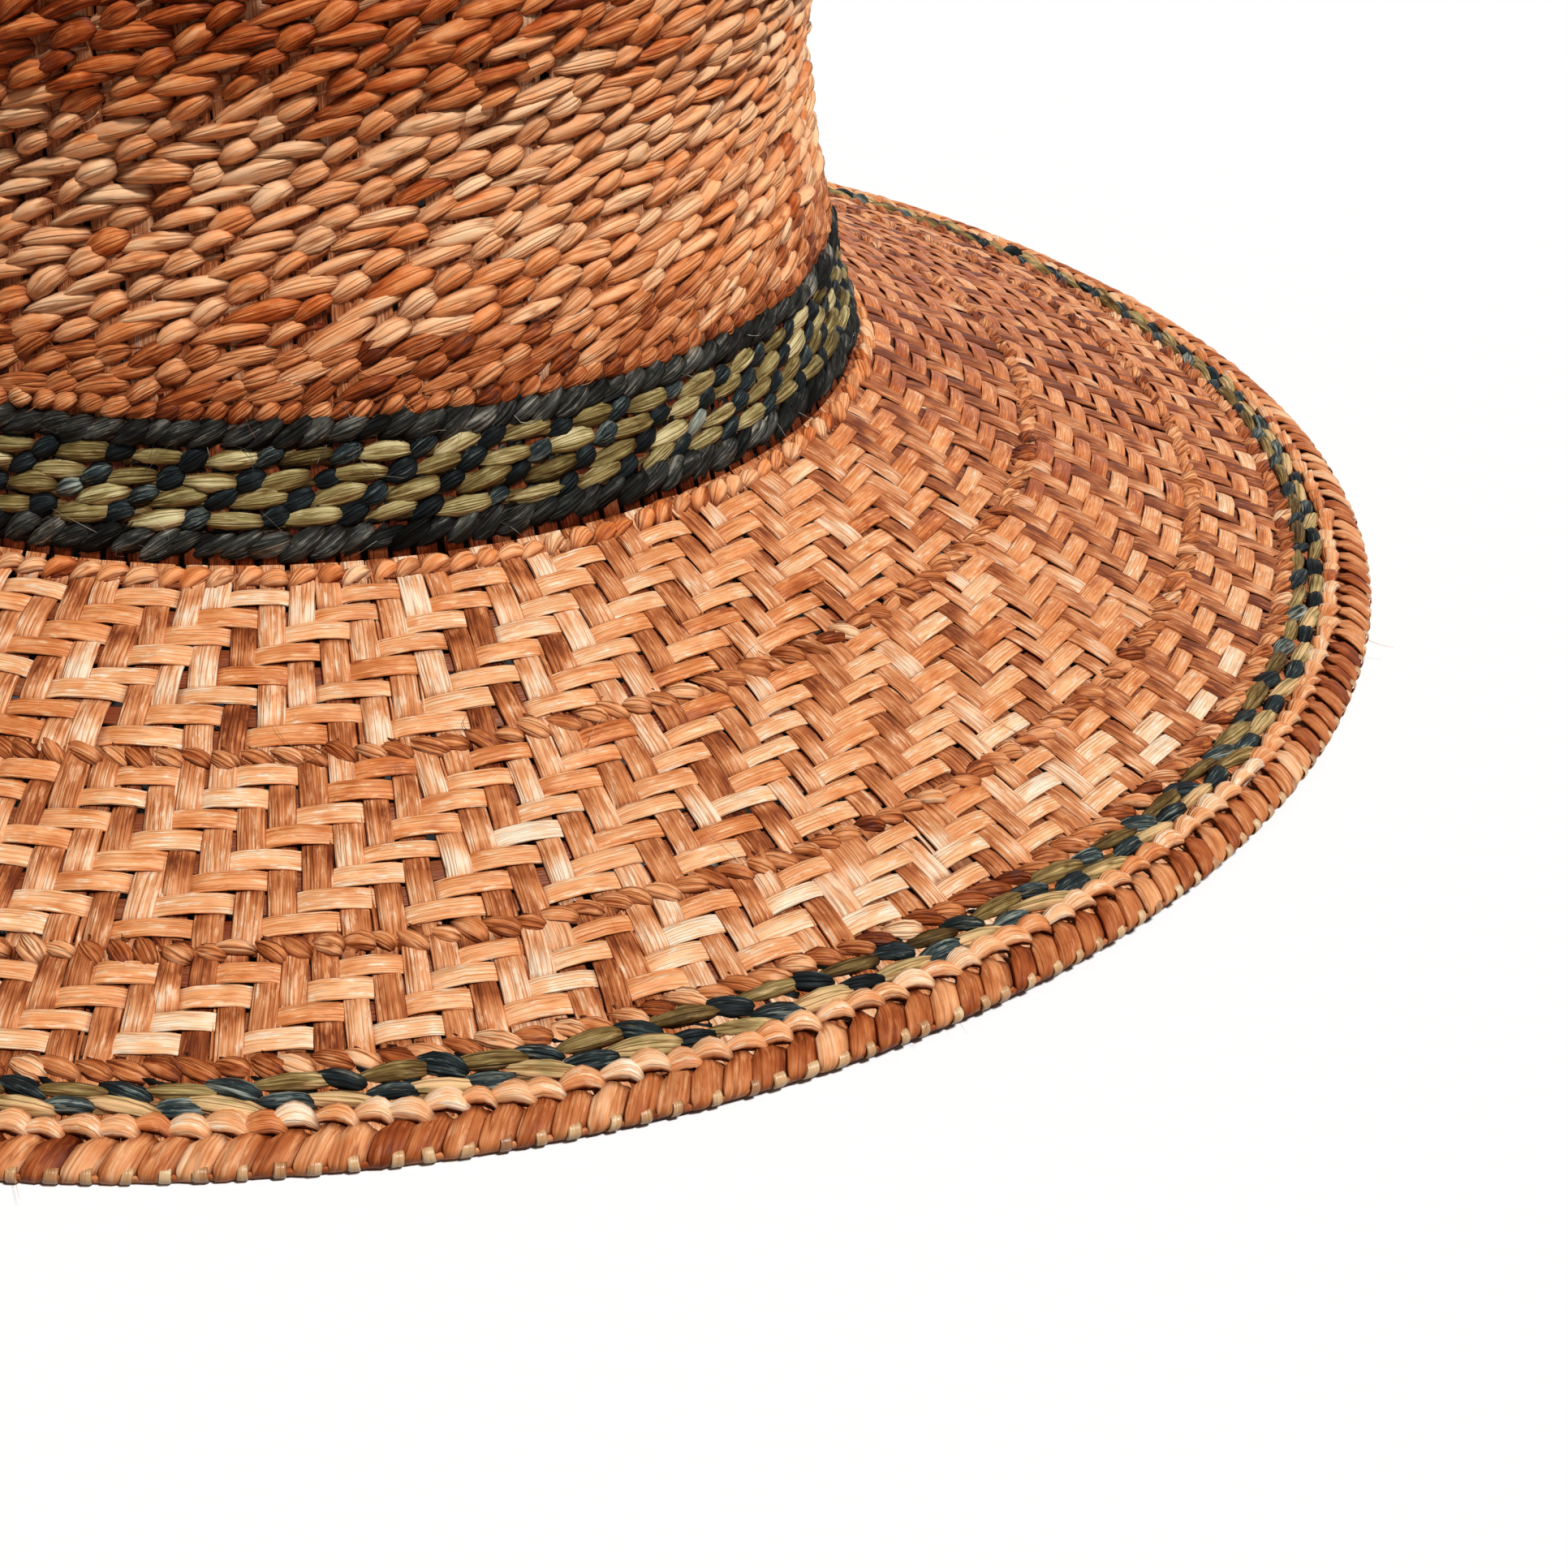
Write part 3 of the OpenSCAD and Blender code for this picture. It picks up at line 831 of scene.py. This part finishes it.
def crown_start():
    """The knot in the middle of the top: two short rows of stitches, one inside the other."""
    rng = np.random.default_rng(SEED_START)
    parts = single_row(rng, 5.6, 11, reach=1.5, width=3.0, height=0.8, lean=0.4, tint=0.5)
    parts += single_row(rng, 2.4, 6, reach=1.5, width=3.0, height=0.9, lean=0.5, tint=0.45)
    make_piece("crown_start", parts, crown_bark)


def band():
    """Two dark ropes with checked rows of olive and dark between them, over the band's warps."""
    rng = np.random.default_rng(SEED_BAND)
    top = CROWN_LEN - BAND_TOP_H
    # The band's warps carry deep painted shade
    warps = plain_warps(rng, top, CROWN_LEN, WARPS_BAND, BAND_STRIP_W, tint=0.3, unshaded=0.1, sunk=0.25)
    make_piece("band_warps", [warps], warp_bark)
    for name, h in (("band_upper_rope", UPPER_ROPE_H), ("band_lower_rope", ROPE_FOOT)):
        m = CROWN_LEN - h
        parts = single_row(
            rng, m, ROPE_STITCHES, reach=2.0, width=3.2, height=1.6, lean=0.5, tint=0.44, spread=0.12,
            crease=0.55, loose=0.12, blunt=0.36,
        )
        parts.append(stray_fibres(rng, 70, m - 1.5, m + 1.5, start=1.0, reach=2.0, tint=0.9))
        make_piece(name, parts, rope_bark)
    for i in range(1, CHECK_ROWS + 1):
        m = CROWN_LEN - UPPER_ROPE_H + ROPE_STEP + (i - 1) * CHECK_STEP
        parts = checked_row(
            rng, m, WARPS_BAND, -i, width=2.85, height=1.3, leans=(0.13, 0.45), tint=0.62, dyes=(0, 1),
            blunt=(0.46, 0.7), contrast=-0.2, arch=0.2,
        )
        make_piece(f"band_check_row_{i}", parts, check_bark)


def over(row, warp):
    """1 where a plaited row lies over a warp and -1 where it lies under: two over and two
    under, one warp further left with each row outwards."""
    return np.where((warp + row) % 4 < 2, 1, -1)


def side_shade(theta):
    """How much painted shade darkens one side of the brim: eased in from one angle and out
    again at another.
    """
    theta = (theta + math.pi) % TURN - math.pi
    start = smooth((theta - SHADED_SIDE[0]) / SHADED_SIDE_EASE)
    return SHADED_SIDE_BY * start * smooth((SHADED_SIDE[1] - theta) / SHADED_SIDE_EASE)


def plaited_weft(row, s, warps, tint):
    """A plaited row: a flat strip that swings over and under the warps. v counts warps from the
    start of a float, over the weave from 0 to 2 and under it from 2 to 4, and the height
    follows a flattened cosine of v. Each float has its own width, shift, lean, shade and bent
    middle, and hands them over to the next one while it is under the warps."""
    rng = np.random.default_rng(SEED_PLAITED_ROWS + row)
    steps = 6
    x = np.arange(warps * steps) / steps
    floats = warps // 4
    place = (x + row + 0.5) / 4
    here = place.astype(int) % floats
    after = (here + 1) % floats
    v = 4 * (place % 1)
    hidden = smooth((v - 2) / 2)
    theta = (x + 0.5) / warps * TURN

    def blend(first, second):
        """Moves from one float's value to the next one's while the strip is hidden."""
        return first + (second - first) * hidden

    own_width = rng.uniform(0.86, 1.08, floats)
    own_shift = rng.normal(0, 0.13, floats)
    own_lean = rng.normal(0.03, 0.1, floats)
    own_shade = rng.normal(0, 0.1, floats)
    own_bend = rng.uniform(0.02, 0.32, floats)
    swing = np.sin(math.pi / 2 * np.clip(1.5 * np.cos((v - 1) * math.pi / 2), -1, 1))
    bent = own_bend[here] * np.clip(1 - np.abs(v - 1) / 0.6, 0, 1)
    out = WEFT_SWING * swing + bent
    slant = np.clip(v, 0, 2) - 1
    start = own_shift[here] - own_lean[here] * slant
    m = CROWN_LEN + s + blend(start, (own_shift + own_lean)[after]) + wandering(rng, theta, 0.08)
    width = (PLAIT_STEP - 0.2) * blend(own_width[here], own_width[after])
    y, h = flat_section(width[None, :], WEFT_T, 0.1)
    h = np.broadcast_to(h, y.shape)
    along = (theta * radius(m))[None, :]
    turn = np.zeros((1, len(x)))
    # Painted shade where the strip dips under the warps
    unshaded = smooth((swing + 1.2) / 1.6)[None, :]
    shade = tint + blend(own_shade[here], own_shade[after]) + wandering(rng, theta, 0.05)
    # Painted shade on one side of the brim
    shade = shade - side_shade(theta)
    part = tubes(
        m[None, :], theta[None, :], out[None, :], y, h, turn, along, shade[None, :],
        unshaded=unshaded, looped=True,
    )
    make_piece(f"brim_weft_{row:02d}", [part], weft_bark)


def plaited_warps(name, rng, start, stop, rows, warps, edges):
    """The warps of one zone of the brim. At each plaited row they lie on the other side from
    the row, at the edges, the twined rows between the zones, they are level, and eased steps
    join these. Thin slivers of split bark lie beside some of them. Where a warp lies on top over
    two rows, it is rubbed paler towards the second."""
    stations = np.array([edges[0]] + [s for _, s in rows] + list(edges[1:]))
    place = np.arange(warps)
    swing = np.zeros((warps, len(stations)))
    for column, (row, _) in enumerate(rows):
        swing[:, column + 1] = -WARP_SWING * over(row, place)
    marks = np.unique(np.clip([start, *stations, stop], start, stop))
    s = np.interp(np.arange(3 * len(marks) - 2) / 3, np.arange(len(marks)), marks)
    segment = np.clip(np.searchsorted(stations, s) - 1, 0, len(stations) - 2)
    share = (s - stations[segment]) / (stations[segment + 1] - stations[segment])
    ease = smooth((share - 0.15) / 0.7)
    out = swing[:, segment] + (swing[:, segment + 1] - swing[:, segment]) * ease
    m = np.broadcast_to(CROWN_LEN + s, out.shape)
    drift = rng.normal(0, 0.08, (warps, 1)) * np.sin(s / 7 + rng.uniform(0, 6, (warps, 1)))
    theta = (place[:, None] + 0.5 + drift) / warps * TURN
    width = strip_width(m, warps, BRIM_STRIP_W) * rng.uniform(0.86, 1.06, (warps, 1))
    # Painted shade where the warp dips under the rows
    unshaded = smooth((out / WARP_SWING + 1.5) / 2.2)
    own = rng.normal(0, 0.09, (warps, len(stations)))
    for column, (row, _) in enumerate(rows):
        own[:, column + 1] += RUBBED[(place + row) % 4]
    # The bark's own tints, less painted shade on one side of the brim
    shade = row_tints(rng, warps, 0.47, 0.14, 0.03)[:, None] + own[:, segment] - side_shade(theta)
    shade = shade + (own[:, segment + 1] - own[:, segment]) * share
    parts = [warp_strips(rng, m, theta, out, width, shade, unshaded)]
    split = np.flatnonzero(rng.random(warps) < 0.3)
    beside = rng.choice([-1, 1], (len(split), 1))
    pitch = TURN * radius(m[:1]) / warps
    slim = np.broadcast_to(pitch, (len(split), len(s))) * rng.uniform(0.14, 0.26, (len(split), 1))
    near = theta[split] + beside * (width[split] + slim) / 2 / radius(m[split])
    tints = row_tints(rng, len(split), 0.45, 0.2)
    parts.append(warp_strips(rng, m[split], near, out[split] - 0.14, slim, tints, unshaded[split], True))
    make_piece(name, parts, warp_bark)


def plaited_zones():
    """The three plaited zones, each with its warps, number of rows, tint and edges. The rows of
    a zone are evenly spaced from its first edge, and the first one after a twined row is darker."""
    zones = (
        ("inner", WARPS_BAND, ROWS_INNER, 0.48, (JOIN_S, INNER_TWINED_S)),
        ("middle", WARPS_MIDDLE, ROWS_MIDDLE, 0.52, (INNER_TWINED_S, OUTER_TWINED_S)),
        ("outer", WARPS_OUTER, ROWS_OUTER, 0.67, (OUTER_TWINED_S, BORDER_S, RIM_S)),
    )
    ends = (0, INNER_TWINED_S, OUTER_TWINED_S, RIM_S - WARP_STOP)
    rows = {}
    made = 0
    for zone, warps, count, tint, edges in zones:
        rows[zone] = [(made + k, edges[0] + k * PLAIT_STEP) for k in range(1, count + 1)]
        made += count
        for k, (row, s) in enumerate(rows[zone]):
            after_twining = k == 0 and zone != "inner"
            plaited_weft(row, s, warps, tint - DARKER_BY if after_twining else tint)
    for i, (zone, warps, _, _, edges) in enumerate(zones):
        rng = np.random.default_rng(SEED_PLAITED_WARPS + i)
        plaited_warps(f"brim_warps_{zone}", rng, ends[i], ends[i + 1], rows[zone], warps, edges)


def twined_rows():
    """The row that joins crown and brim, and the two that lock new warps into the brim."""
    rng = np.random.default_rng(SEED_TWINED_ROWS)
    parts = single_row(
        rng, CROWN_LEN + JOIN_S, WARPS_BAND, reach=1.45, width=3.1, height=1.5, lean=0.5, tint=0.58,
        arch=0.6, loose=0.16, blunt=0.5,
    )
    make_piece("brim_join_twining", parts, crown_bark)
    for name, s, warps in (
        ("brim_inner_twined_row", INNER_TWINED_S, WARPS_MIDDLE),
        ("brim_outer_twined_row", OUTER_TWINED_S, WARPS_OUTER),
    ):
        m = CROWN_LEN + s
        parts = single_row(
            rng, m, warps, reach=1.6, width=3.0, height=1.25, lean=-0.55, tint=0.5,
            crease=0.7, loose=0.22, blunt=0.5,
        )
        parts.append(stray_fibres(rng, 40, m - 1, m + 1, start=0.6, reach=1.6))
        make_piece(name, parts, red_bark)


def border():
    """The border: an inner twined row, two checked rows and an outer twined row."""
    rng = np.random.default_rng(SEED_BORDER)
    at = [CROWN_LEN + BORDER_S + i * BORDER_STEP for i in range(4)]
    parts = single_row(
        rng, at[0], WARPS_OUTER, reach=1.8, width=2.9, height=1.2, lean=-0.5, tint=0.46,
        swing=0.3, crease=0.5,
    )
    make_piece("border_inner_twining", parts, red_bark)
    parts = checked_row(
        rng, at[1], WARPS_OUTER, 0, width=2.9, height=1.5, leans=(-0.05, -0.36), tint=0.46, dyes=(0, 1),
        reach=(3.0, 2.1), blunt=(0.64, 0.62), spread=0.08, seat=0.42, contrast=0.12,
    )
    make_piece("border_check_row_inner", parts, border_bark)
    parts = checked_row(
        rng, at[2], WARPS_OUTER, 1.5, width=2.9, height=1.5, leans=(-0.14, -0.06), tint=0.76, dyes=(0, 1),
        reach=(3.0, 2.1), blunt=(0.64, 0.58), spread=0.08, seat=0.42, contrast=-0.3, patch=-0.2,
    )
    make_piece("border_check_row_outer", parts, border_bark)
    parts = single_row(
        rng, at[3] + 0.2, WARPS_OUTER, reach=1.8, width=3.1, height=1.2, lean=-0.18, tint=0.62,
        seat=1.05, arch=1.5, blunt=0.46, rings=10, shaded=0.8,
    )
    make_piece("border_outer_twining", parts, weft_bark)


def signed_power(value, power):
    """A power of a value's size, with the value's sign, for the arcs of superellipses."""
    return np.sign(value) * np.abs(value) ** power


def fold_line(rings):
    """The middle line of a fold: it rises from under the outer twining, lies flat, bends down at
    the edge and curls a little under it, as an arc of a superellipse. Gives its distance down
    the brim, its height, its length so far and its outward normal."""
    angle = np.linspace(0, FOLD_END, rings)
    reach = RIM_S - FOLD_GAP - FOLD_TOP_S
    s = FOLD_TOP_S + reach * np.sin(angle) ** FOLD_POWER
    rise = FOLD_RISE * signed_power(np.cos(angle), FOLD_POWER)
    rise = rise * smooth((s - FOLD_TOP_S) / 3.2)
    q = np.concatenate([[0], np.cumsum(np.hypot(np.diff(s), np.diff(rise)))])
    normal_s = -np.gradient(rise, q)
    normal_out = np.gradient(s, q)
    size = np.hypot(normal_s, normal_out)
    return s, rise, q, normal_s / size, normal_out / size


def edge_binding():
    """The warp ends, folded over the rim like shingles. Each is a flat strip along the fold line
    that leans down to the left. It comes out narrow under the outer twining, widens and has a
    rounded end. Its left side lies on top of its neighbour, and its right side dips under the
    next one. A cord of bark lies under the ends of the folds, along the edge."""
    rng = np.random.default_rng(SEED_FOLDS)
    count = WARPS_OUTER
    s, rise, q, normal_s, normal_out = fold_line(12)
    rim_m = CROWN_LEN + RIM_S
    rim = radius(rim_m)
    pitch = TURN * rim / count
    opened = smooth((q - 0.7) / 2.4)
    closed = 1 - 0.26 * smooth((q / q[-1] - 0.7) / 0.3) ** 2
    width = pitch * (0.6 + 0.74 * opened) * closed * rng.uniform(0.92, 1.08, (count, 1))
    side = np.array([-0.5, -0.45, -0.14, 0.12, 0.27, 0.5, 0.3, -0.42])
    face = np.array([0.02, 0.38, 0.42, 0.24, -0.08, -0.44, -0.48, -0.16])
    # shaded is painted shade across a fold: the face is lit, the right side that dips under the next fold
    # is dark
    shaded = np.array([0.45, 1, 1, 0.95, 0.35, 0.1, 0.1, 0.1])
    ridge = 1 + rng.uniform(-0.3, 0.3, (count, 1, len(side)))
    high = face * ridge + rng.normal(0, 0.05, (count, 1, 1))
    y = width[..., None] * side
    lean = rng.normal(FOLD_LEAN, 0.3, (count, 1)) * np.clip(1 - (q - 0.8) / (q[-1] - 0.8), 0, 1)
    away = lean - FOLD_LEAN + rng.normal(0, 0.15, (count, 1))
    theta = (np.arange(count)[:, None] + 0.5) / count * TURN + away / rim
    m = CROWN_LEN + s[None, :, None] + high * normal_s[None, :, None]
    out = rise[None, :, None] + high * normal_out[None, :, None]
    angle = theta[..., None] + y / rim
    along = q + rng.uniform(0, 90, (count, 1))
    # Painted light: the folds are paler on the side where the brim carries painted shade, to offset how the
    # light falls on them there
    shade = row_tints(rng, count, 0.45, 0.15) + 0.4 * side_shade(theta[:, 0])
    # Painted shade where the fold comes out from under the outer twining, and across it
    unshaded = np.broadcast_to(smooth((q + 0.1) / 2.6)[:, None] * shaded, y.shape)
    parts = [closed_tubes(lay(m, angle, out), y, along, shade, unshaded=unshaded)]
    parts.append(edge_cord(rng))
    parts.append(stray_fibres(rng, 40, rim_m - 4, rim_m - 1.5, start=0.8, reach=0.8))
    make_piece("edge_binding", parts, binding_bark)


def edge_cord(rng):
    """A cord of bark along the edge under the folds: its section is a rounded square, and its
    width and shade are uneven."""
    x = np.arange(WARPS_OUTER * 4)
    theta = x / len(x) * TURN
    width = 1 + wandering(rng, theta, 0.03, (31, 57, 83))
    angle = (np.arange(8) + 0.5) / 8 * TURN
    half = CORD_HALF * width[None, :, None]
    y = half * signed_power(np.cos(angle), 0.5)
    h = half * signed_power(np.sin(angle), 0.5)
    m = np.full((1, len(x)), CROWN_LEN + RIM_S - CORD_IN)
    out = np.full((1, len(x)), CORD_OUT)
    shade = 0.42 + wandering(rng, theta, 0.08, (9, 17, 29, 71))
    along = (theta * radius(CROWN_LEN + RIM_S))[None, :]
    turn = np.zeros(m.shape)
    return tubes(m, theta[None, :], out, y, h, turn, along, shade[None, :], looped=True)


def edge_sewing_thread():
    """The thread along the rim: short flat pale bars that oversew the ends of the folds and the
    cord under them. Each bends round the edge on an arc of a superellipse and dives in at both
    ends."""
    rng = np.random.default_rng(SEED_THREAD)
    count = WARPS_OUTER
    angle = np.radians(np.linspace(THREAD_FROM, THREAD_TO, 9))[None, :, None]
    side = np.array([-0.5, -0.34, 0.34, 0.5, 0])
    thick = 1 + np.array([-0.03, 0.06, 0.06, -0.03, -0.14])
    s = RIM_S - THREAD_IN + THREAD_REACH * thick * np.cos(angle) ** THREAD_POWER
    out = THREAD_OUT + THREAD_RISE * thick * signed_power(np.sin(angle), THREAD_POWER)
    width = rng.uniform(1.3, 1.9, (count, 1, 1))
    rim = radius(CROWN_LEN + RIM_S)
    theta = (np.arange(count) + 0.05 + rng.normal(0, 0.09, count)) / count * TURN
    skew = rng.normal(0.15, 0.15, (count, 1, 1)) * np.sin(angle)
    place = theta[:, None, None] + (width * side + skew) / rim
    points = lay(np.broadcast_to(CROWN_LEN + s, place.shape), place, np.broadcast_to(out, place.shape))
    along = np.broadcast_to(angle[:, :, 0], place.shape[:2])
    part = closed_tubes(points, width * side, along, row_tints(rng, count, 0.5, 0.14))
    make_piece("edge_sewing_thread", [part], sewing_thread)


# Floor: half its side in metres, its grey for the light it throws back, and its shade where it shows
FLOOR_HALF = 6.0
FLOOR_GREY = (0.34, 0.33, 0.32, 1)
FLOOR_SEEN = (0.97, 0.97, 0.97, 1)

# Light: the white world's level, and the sun's strength, width and direction
AMBIENT = 0.07
SUN_STRENGTH = 3.45
SUN_WIDTH = math.radians(9)
SUN_FROM = (0.34, -0.48, 1.05)


def pale_floor():
    """A plain floor that is white where it shows and grey for the light it throws on the hat."""
    size = FLOOR_HALF
    mesh = bpy.data.meshes.new("floor")
    corners = [(-size, -size, 0), (size, -size, 0), (size, size, 0), (-size, size, 0)]
    mesh.from_pydata(corners, [], [(0, 1, 2, 3)])
    floor = bpy.data.objects.new("floor", mesh)
    bpy.context.scene.collection.objects.link(floor)
    material = bpy.data.materials.new("pale_floor")
    recipe = Recipe(material)
    pale = recipe.mix(recipe.seen(), FLOOR_GREY, FLOOR_SEEN)
    recipe.surface("ShaderNodeBsdfDiffuse", {"Color": pale}, "ShaderNodeOutputMaterial")
    mesh.materials.append(material)


def soft_light():
    """A world that is white where it shows and lights the hat at a low level, and one soft sun
    overhead."""
    world = bpy.data.worlds.new("soft_studio")
    bpy.context.scene.world = world
    recipe = Recipe(world)
    strength = recipe.seen() * (1 - AMBIENT) + AMBIENT
    recipe.surface("ShaderNodeBackground", {"Color": WHITE, "Strength": strength}, "ShaderNodeOutputWorld")
    lamp = bpy.data.lights.new("key_lamp", "SUN")
    lamp.angle = SUN_WIDTH
    lamp.energy = SUN_STRENGTH
    key = bpy.data.objects.new("key_lamp", lamp)
    bpy.context.scene.collection.objects.link(key)
    key.location = SUN_FROM
    key.rotation_euler = (-key.location).to_track_quat("-Z", "Y").to_euler()


def photo_camera():
    """The camera: its place, its yaw to the right, pitch down and roll, and its focal length in
    pixels of the square image."""
    place = (0.0, -0.3917, 0.1847)
    yaw, pitch, roll = 0.2281, 0.5731, 0.0557
    focal, image = 2897.0, 1932.0
    sensor = 36.0
    look = np.array([math.sin(yaw) * math.cos(pitch), math.cos(yaw) * math.cos(pitch), -math.sin(pitch)])
    right = np.cross(look, (0, 0, 1))
    right /= np.linalg.norm(right)
    up = np.cross(right, look)
    across = math.cos(roll) * right + math.sin(roll) * up
    above = -math.sin(roll) * right + math.cos(roll) * up
    data = bpy.data.cameras.new("photo_camera")
    data.sensor_width = sensor
    data.lens = sensor * focal / image
    data.clip_start = 0.01
    camera = bpy.data.objects.new("photo_camera", data)
    bpy.context.scene.collection.objects.link(camera)
    turned = np.eye(4)
    turned[:3, :3] = np.stack([across, above, -look], 1)
    turned[:3, 3] = place
    camera.matrix_world = Matrix(turned.tolist())
    bpy.context.scene.camera = camera


photo_camera()
pale_floor()
soft_light()
crown_start()
crown_warps()
crown_wefts()
crown_close_weft()
band()
plaited_zones()
twined_rows()
border()
edge_binding()
edge_sewing_thread()

bpy.context.scene.view_settings.view_transform = "Standard"
